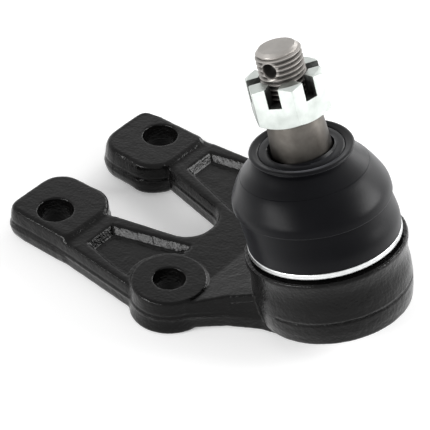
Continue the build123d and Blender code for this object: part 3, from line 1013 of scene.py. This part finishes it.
def makeClampRing(values):
    low, high, outer = values["bottom"], values["top"], values["outer"]
    inner, middle, edge = outer - values["thickness"], (low + high) / 2, outer - values["edgeInset"]
    half, soft = values["grooveHalf"], values["grooveRound"]
    corners = [
        (inner, middle, 0),
        (inner, low, values["innerRound"]),
        (edge, low, values["edgeRound"]),
        (outer, middle - half, soft),
        (outer - values["grooveDepth"], middle, soft),
        (outer, middle + half, soft),
        (edge, high, values["edgeRound"]),
        (inner, high, values["innerRound"]),
        (inner, middle + values["outlineGap"], 0),
    ]
    outline, segments = filletProfile(corners), values["segments"]
    piece = lathe("boot_clamp_ring_rolled", outline, housingFrame, segments, closed=True)
    finishMesh(piece, values["sharpAngle"])
    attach(piece, "bracket_body")
    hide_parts("boot_clamp_ring")
    dress(piece, metals["clamp_ring_steel"])
    return piece


clampRing = makeClampRing(clampValues)
print("clamp ring made")


# inner pieces and the bottom cover keep their solids
keptNodes = {
    "upper_seat": seatPlastic,
    "lower_seat": seatPlastic,
    "pressure_plate": metals["pressed_plate_steel"],
    "disc_spring": metals["blued_spring_steel"],
    "bottom_cover": enamel,
}
for nodeName, finish in keptNodes.items():
    for entry in frame["nodes"][nodeName].material_slots:
        entry.material = finish.material
print("inner pieces dressed")


stageValues = {
    "floorHeight": -12.25,  # mm
    "floorSize": 6.0,  # m
    "floorColour": 0.96,
    "nearGlow": 0.28,
    "farGlow": 0.42,  # added to the floor away from the part, where the lamps don't reach
    "glowMiddle": (0.055, 0),  # m, x and y
    "glowFrom": (0.1, 0.45),  # m from that point
    "worldLight": 0.41,
    "worldSeen": 1.0,  # by the camera and in reflections
}


# mixes a shader with one that only camera, glossy and transmission rays see
def litForSight(tree, plain, shown):
    path = tree.nodes.new("ShaderNodeLightPath")
    first, second = tree.nodes.new("ShaderNodeMath"), tree.nodes.new("ShaderNodeMath")
    first.operation = second.operation = "MAXIMUM"
    tree.links.new(path.outputs["Is Camera Ray"], first.inputs[0])
    tree.links.new(path.outputs["Is Glossy Ray"], first.inputs[1])
    tree.links.new(first.outputs[0], second.inputs[0])
    tree.links.new(path.outputs["Is Transmission Ray"], second.inputs[1])
    mix = tree.nodes.new("ShaderNodeMixShader")
    tree.links.new(second.outputs[0], mix.inputs[0])
    tree.links.new(plain.outputs[0], mix.inputs[1])
    tree.links.new(shown.outputs[0], mix.inputs[2])
    return mix


def makeWorld(values):
    world = bpy.data.worlds.new("studio")
    bpy.context.scene.world = world
    world.use_nodes = True
    tree = world.node_tree
    tree.nodes.clear()
    output = tree.nodes.new("ShaderNodeOutputWorld")
    plain, shown = tree.nodes.new("ShaderNodeBackground"), tree.nodes.new("ShaderNodeBackground")
    plain.inputs["Color"].default_value = shown.inputs["Color"].default_value = (1, 1, 1, 1)
    plain.inputs["Strength"].default_value = values["worldLight"]
    shown.inputs["Strength"].default_value = values["worldSeen"]
    tree.links.new(litForSight(tree, plain, shown).outputs[0], output.inputs["Surface"])


def makeFloor(values):
    half = values["floorSize"] / 2
    z = values["floorHeight"] * mm
    mesh = bpy.data.meshes.new("floor")
    corners = [(-half, -half, z), (half, -half, z), (half, half, z), (-half, half, z)]
    mesh.from_pydata(corners, [], [(0, 1, 2, 3)])
    floor = newPiece("floor", mesh)
    floorFinish = Finish("pale_floor")
    tree = floorFinish.tree
    tree.nodes.remove(floorFinish.shader)
    matt = floorFinish.add("ShaderNodeBsdfDiffuse")
    matt.inputs["Color"].default_value = (values["floorColour"],) * 3 + (1,)
    # the floor glows mostly away from the part, so that the part keeps its shadow
    away = floorFinish.add("ShaderNodeVectorMath", operation="DISTANCE")
    floorFinish.link(floorFinish.place, "Object", away, 0)
    away.inputs[1].default_value = (*values["glowMiddle"], z)
    share = floorFinish.span(away, "Value", values["nearGlow"], values["farGlow"], *values["glowFrom"])
    glow = floorFinish.add("ShaderNodeEmission")
    floorFinish.link(share, "Result", glow, "Strength")
    both = floorFinish.add("ShaderNodeAddShader")
    tree.links.new(matt.outputs[0], both.inputs[0])
    tree.links.new(glow.outputs[0], both.inputs[1])
    tree.links.new(litForSight(tree, matt, both).outputs[0], floorFinish.output.inputs["Surface"])
    mesh.materials.append(floorFinish.material)


# direction and distance in m from the target, size in m, power in W
lampTarget = (0.06, 0, 0.01)
lampValues = {
    "front": {"from": (-0.26, -0.9, 0.34), "far": 1.0, "size": (0.68, 0.22), "power": 9.6},
    "rear": {"from": (0.68, 0.62, 0.4), "far": 1.0, "size": (0.58, 0.36), "power": 8.8},
    "back": {"from": (0.02, 0.94, 0.33), "far": 1.0, "size": (0.5, 0.3), "power": 2.0},
}


def makeLamps(values):
    for name, lamp in values.items():
        light = bpy.data.lights.new(name, "AREA")
        light.energy, light.shape = lamp["power"], "RECTANGLE"
        light.size, light.size_y = lamp["size"]
        holder = bpy.data.objects.new(name, light)
        bpy.context.scene.collection.objects.link(holder)
        away = Vector(lamp["from"]).normalized()
        holder.location = Vector(lampTarget) + away * lamp["far"]
        holder.rotation_euler = away.to_track_quat("Z", "Y").to_euler()


cameraValues = {
    "place": (0.3582775, -0.3754647, 0.4044790),  # m
    "turn": (50.71648, 0.293704, 39.524770),  # degrees
    "lens": 164.7418,  # mm
    "sensor": 36,
    "clip": (0.01, 20),  # m
}


def makeCamera(values):
    data = bpy.data.cameras.new("camera")
    data.lens, data.sensor_width = values["lens"], values["sensor"]
    data.clip_start, data.clip_end = values["clip"]
    camera = bpy.data.objects.new("camera", data)
    bpy.context.scene.collection.objects.link(camera)
    camera.location = values["place"]
    camera.rotation_euler = Euler([math.radians(angle) for angle in values["turn"]])
    bpy.context.scene.camera = camera


makeWorld(stageValues)
makeFloor(stageValues)
makeLamps(lampValues)
makeCamera(cameraValues)
bpy.context.scene.view_settings.view_transform = "Standard"
print("stage, lamps and camera placed")
